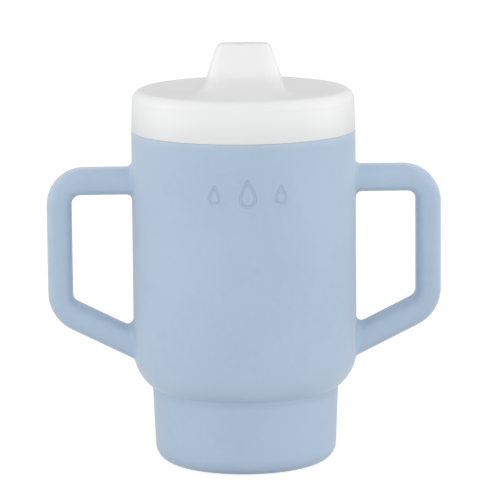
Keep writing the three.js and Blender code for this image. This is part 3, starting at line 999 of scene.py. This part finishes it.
SEAL_COLOURS = ((0.70, 0.745, 0.78), (0.78, 0.81, 0.83))
VALVE_COLOURS = ((0.76, 0.80, 0.825), (0.82, 0.845, 0.86))
CLEAR_GRAIN = 0.02
CLEAR_SCATTER = 2.0
CLEAR_IOR = 1.41


class Nodes:
    """Short calls for building a material's node tree."""

    def __init__(self, name):
        self.material = bpy.data.materials.new(name)
        self.material.use_nodes = True
        self.tree = self.material.node_tree
        self.shader = self.tree.nodes["Principled BSDF"]
        self.place = self.tree.nodes.new("ShaderNodeTexCoord").outputs["Object"]

    def link(self, source, target):
        if isinstance(source, (int, float)):
            target.default_value = source
        else:
            self.tree.links.new(source, target)

    def noise(self, scale, detail=3.0, roughness=0.5):
        node = self.tree.nodes.new("ShaderNodeTexNoise")
        node.inputs["Scale"].default_value = scale
        node.inputs["Detail"].default_value = detail
        node.inputs["Roughness"].default_value = roughness
        self.link(self.place, node.inputs["Vector"])
        return node.outputs["Fac"]

    def axis(self, name):
        node = self.tree.nodes.new("ShaderNodeSeparateXYZ")
        self.link(self.place, node.inputs[0])
        return node.outputs[name]

    def away_from(self, axis, place):
        """Distance along an axis from a place in millimetres."""
        return self.maths("ABSOLUTE", self.maths("SUBTRACT", self.axis(axis), place * MM))

    def setting(self, name, value):
        self.shader.inputs[name].default_value = value

    def maths(self, operation, a, b=0.0):
        node = self.tree.nodes.new("ShaderNodeMath")
        node.operation = operation
        self.link(a, node.inputs[0])
        self.link(b, node.inputs[1])
        return node.outputs[0]

    def spread(self, source, low, high, to_low, to_high, smooth=False):
        node = self.tree.nodes.new("ShaderNodeMapRange")
        node.interpolation_type = "SMOOTHSTEP" if smooth else "LINEAR"
        self.link(source, node.inputs["Value"])
        node.inputs["From Min"].default_value = low
        node.inputs["From Max"].default_value = high
        node.inputs["To Min"].default_value = to_low
        node.inputs["To Max"].default_value = to_high
        return node.outputs["Result"]

    def fade(self, source, low_mm, high_mm, to_low, to_high):
        """A soft change of value between two places given in millimetres."""
        return self.spread(source, low_mm * MM, high_mm * MM, to_low, to_high, True)

    def blend_colours(self, share, first, second):
        node = self.tree.nodes.new("ShaderNodeMix")
        node.data_type = "RGBA"
        self.link(share, node.inputs["Factor"])
        for socket, colour in ((node.inputs["A"], first), (node.inputs["B"], second)):
            if isinstance(colour, tuple):
                socket.default_value = (*colour, 1)
            else:
                self.link(colour, socket)
        return node.outputs["Result"]

    def bump(self, height, distance_mm, strength=1.0, after=None):
        node = self.tree.nodes.new("ShaderNodeBump")
        node.inputs["Distance"].default_value = distance_mm * MM
        node.inputs["Strength"].default_value = strength
        self.link(height, node.inputs["Height"])
        if after is not None:
            self.link(after, node.inputs["Normal"])
        return node.outputs["Normal"]


def silicone_body():
    n = Nodes("blue_silicone")
    height = n.axis("Z")
    mottle = n.spread(n.noise(28, 4), 0.35, 0.65, 0, 1, True)
    mottled = n.blend_colours(mottle, BLUE_DEEP, BLUE_PALE)
    cloud = n.spread(n.noise(420, 3), 0.3, 0.7, 0, 0.35)
    cloudy = n.blend_colours(cloud, mottled, BLUE_CLOUD)
    # painted highlight: paler blue along the top of the wall under the lid
    under_lid_highlight = n.fade(n.away_from("Z", JOINT_Z), 0, UNDER_LID_HIGHLIGHT_REACH, 0.5, 0)
    lip_highlighted = n.blend_colours(under_lid_highlight, cloudy, BLUE_UNDER_LID_HIGHLIGHT)
    # painted light: paler blue on the shoulder between the crease and the straight wall, softening its
    # shade
    over_crease = n.fade(height, CREASE_Z + 0.8, CREASE_Z + 4.0, 0, 0.32)
    under_wall = n.fade(height, SHOULDER_Z - 7.0, SHOULDER_Z + 1.0, 1, 0)
    shoulder = n.maths("MULTIPLY", over_crease, under_wall)
    shoulder_lit = n.blend_colours(shoulder, lip_highlighted, BLUE_SHOULDER_PAINTED_LIGHT)
    # painted shade: darker blue in a band along the crease
    from_crease_shade = n.away_from("Z", CREASE_Z - CREASE_SHADE_DROP)
    crease = n.fade(from_crease_shade, CREASE_SHADE_CORE, CREASE_SHADE_REACH, 0.4, 0)
    n.link(n.blend_colours(crease, shoulder_lit, BLUE_CREASE_SHADE), n.shader.inputs["Base Color"])
    n.link(n.spread(n.noise(60, 5), 0.3, 0.7, 0.58, 0.72), n.shader.inputs["Roughness"])
    beyond_wall = n.fade(n.away_from("X", 0), PARTING_START_X, PARTING_FULL_X, 0, 1)
    seam = n.fade(n.away_from("Y", 0), PARTING_CORE, PARTING_REACH, 1, 0)
    parting = n.bump(n.maths("MULTIPLY", seam, beyond_wall), PARTING_HEIGHT)
    grain = n.bump(n.noise(2600, 2, 0.6), SILICONE_GRAIN, 0.5, parting)
    ripple = n.bump(n.noise(240, 2), SILICONE_RIPPLE, 0.35, grain)
    n.link(ripple, n.shader.inputs["Normal"])
    n.setting("Specular IOR Level", 0.35)
    n.setting("Sheen Weight", 0.6)
    n.setting("Sheen Roughness", 0.45)
    n.setting("Sheen Tint", SHEEN_TINT)
    return n.material


def lid_plastic():
    n = Nodes("white_polypropylene")
    height = n.axis("Z")
    tone = n.spread(n.noise(22, 3), 0.35, 0.65, 0, 1, True)
    white = n.blend_colours(tone, WHITE_COOL, WHITE_WARM)
    # painted shade: the skirt's white turns greyer towards its bottom edge
    skirt_shade = n.fade(height, SKIRT_SHADE_LOW_Z, SKIRT_SHADE_HIGH_Z, 0.75, 0)
    skirt = n.blend_colours(skirt_shade, white, WHITE_SKIRT_SHADE)
    # painted shade: greyer white where the spout rises from the lid's top, fading out higher up
    over_top = n.fade(height, *(LID_TOP_Z + rise for rise in ROOT_SHADE_RISE), 0, 1)
    near_top = n.fade(height, *(LID_TOP_Z + rise for rise in ROOT_SHADE_FALL), 0.9, 0)
    root_shade = n.maths("MULTIPLY", over_top, near_top)
    n.link(n.blend_colours(root_shade, skirt, WHITE_ROOT_SHADE), n.shader.inputs["Base Color"])
    n.link(n.spread(n.noise(90, 4), 0.3, 0.7, 0.4, 0.52), n.shader.inputs["Roughness"])
    grain = n.bump(n.noise(3000, 2, 0.6), PLASTIC_GRAIN, 0.5)
    ripple = n.bump(n.noise(150, 2), PLASTIC_RIPPLE, 0.25, grain)
    n.link(ripple, n.shader.inputs["Normal"])
    n.setting("Specular IOR Level", 0.35)
    n.setting("Subsurface Weight", 0.12)
    n.setting("Subsurface Scale", PLASTIC_SCATTER * MM)
    n.setting("Subsurface Radius", (1.0, 1.0, 1.0))
    return n.material


def clear_silicone(name, colour, milky):
    n = Nodes(name)
    tone = n.spread(n.noise(140, 4), 0.3, 0.7, 0, 1, True)
    n.link(n.blend_colours(tone, colour, milky), n.shader.inputs["Base Color"])
    n.link(n.spread(n.noise(300, 4), 0.3, 0.7, 0.34, 0.5), n.shader.inputs["Roughness"])
    n.link(n.bump(n.noise(2200, 2, 0.6), CLEAR_GRAIN, 0.5), n.shader.inputs["Normal"])
    n.setting("Transmission Weight", 0.25)
    n.setting("IOR", CLEAR_IOR)
    n.setting("Subsurface Weight", 0.3)
    n.setting("Subsurface Radius", [CLEAR_SCATTER * MM] * 3)
    return n.material


# ---------------------------------------------------------------- studio

FLOOR_REACH = 6.0
SEEN_FLOOR_GREY = 0.25
SEEN_FLOOR_GLOW = 0.86
BOUNCE_FLOOR_GREY = 0.75
BOUNCE_FLOOR_Z = -0.0005
WORLD_STRENGTH = 0.69
LIGHT_AIM = Vector((0, 0, 0.07))


def floor(name, height, grey, glow):
    """A level sheet of paper, with some glow of its own so that it stays white."""
    material = bpy.data.materials.new(name)
    material.use_nodes = True
    shader = material.node_tree.nodes["Principled BSDF"]
    shader.inputs["Base Color"].default_value = (grey, grey, grey, 1)
    shader.inputs["Roughness"].default_value = 0.9
    shader.inputs["Specular IOR Level"].default_value = 0.0
    shader.inputs["Emission Color"].default_value = (1, 1, 1, 1)
    shader.inputs["Emission Strength"].default_value = glow
    mesh = bpy.data.meshes.new(name)
    r = FLOOR_REACH
    corners = [(-r, -r, height), (r, -r, height), (r, r, height), (-r, r, height)]
    mesh.from_pydata(corners, [], [(0, 1, 2, 3)])
    mesh.materials.append(material)
    plane = bpy.data.objects.new(name, mesh)
    bpy.context.scene.collection.objects.link(plane)
    return plane


def floors():
    """The floor that is seen, and under it a greyer one that lights the object from below."""
    seen = floor("floor", 0.0, SEEN_FLOOR_GREY, SEEN_FLOOR_GLOW)
    seen.visible_diffuse = False
    seen.visible_glossy = False
    seen.visible_transmission = False
    seen.visible_shadow = False
    bounce = floor("floor_bounce", BOUNCE_FLOOR_Z, BOUNCE_FLOOR_GREY, 0.0)
    bounce.visible_camera = False


def softbox(name, place, width, height, watts):
    lamp = bpy.data.lights.new(name, "AREA")
    lamp.shape = "RECTANGLE"
    lamp.size = width
    lamp.size_y = height
    lamp.energy = watts
    box = bpy.data.objects.new(name, lamp)
    box.location = place
    box.rotation_euler = (LIGHT_AIM - Vector(place)).to_track_quat("-Z", "Y").to_euler()
    bpy.context.scene.collection.objects.link(box)


def surroundings(strength):
    world = bpy.data.worlds.new("studio")
    world.use_nodes = True
    world.node_tree.nodes["Background"].inputs["Color"].default_value = (1, 1, 1, 1)
    world.node_tree.nodes["Background"].inputs["Strength"].default_value = strength
    bpy.context.scene.world = world


CAMERA_ELEVATION = math.radians(9.83)
CAMERA_AZIMUTH = math.radians(-2.05)
CAMERA_ROLL = math.radians(-0.497)
CAMERA_DISTANCE = 1.143
CAMERA_TARGET = Vector((0.00182, 0, 0.0685))
CAMERA_LENS = 254.8
CAMERA_REACH = 50
SENSOR_WIDTH = 36


def camera():
    cos_e = math.cos(CAMERA_ELEVATION)
    sin_e = math.sin(CAMERA_ELEVATION)
    back = Vector((0, -cos_e, sin_e))
    right = Vector((1, 0, 0))
    up = Vector((0, sin_e, cos_e))
    cos_r = math.cos(CAMERA_ROLL)
    sin_r = math.sin(CAMERA_ROLL)
    axes = (right * cos_r + up * sin_r, up * cos_r - right * sin_r, back)
    place = Matrix.Translation(CAMERA_TARGET + back * CAMERA_DISTANCE)
    facing = Matrix(axes).transposed().to_4x4()
    data = bpy.data.cameras.new("camera")
    data.sensor_width = SENSOR_WIDTH
    data.lens = CAMERA_LENS
    data.clip_end = CAMERA_REACH
    eye = bpy.data.objects.new("camera", data)
    bpy.context.scene.collection.objects.link(eye)
    eye.matrix_world = Matrix.Rotation(CAMERA_AZIMUTH, 4, "Z") @ place @ facing
    bpy.context.scene.camera = eye


def main():
    camera()
    floors()
    surroundings(WORLD_STRENGTH)
    softbox("left_softbox", place=(-1.6, 0.1, 0.3), width=0.8, height=1.0, watts=7.4)
    softbox("right_softbox", place=(1.6, 0.1, 0.3), width=0.8, height=1.0, watts=7.4)
    softbox("front_softbox", place=(0, -2.0, 0.35), width=1.6, height=0.5, watts=10.2)
    softbox("top_softbox", place=(0, -0.3, 1.6), width=1.2, height=1.0, watts=1.6)
    silicone = silicone_body()
    plastic = lid_plastic()
    seal = clear_silicone("seal_silicone", *SEAL_COLOURS)
    valve = clear_silicone("valve_silicone", *VALVE_COLOURS)
    make_piece("cup_body_shell", cup_surface(), "cup", "cup_body", silicone)
    make_piece("lid_shell", lid_surface(), "lid", "lid", plastic)
    make_piece("seal_ring", seal_surface(), "lid", "lid_seal", seal)
    make_piece("spill_valve", valve_surface(), "valve", "spout_valve", valve)
    bpy.context.scene.view_settings.view_transform = "Standard"


main()
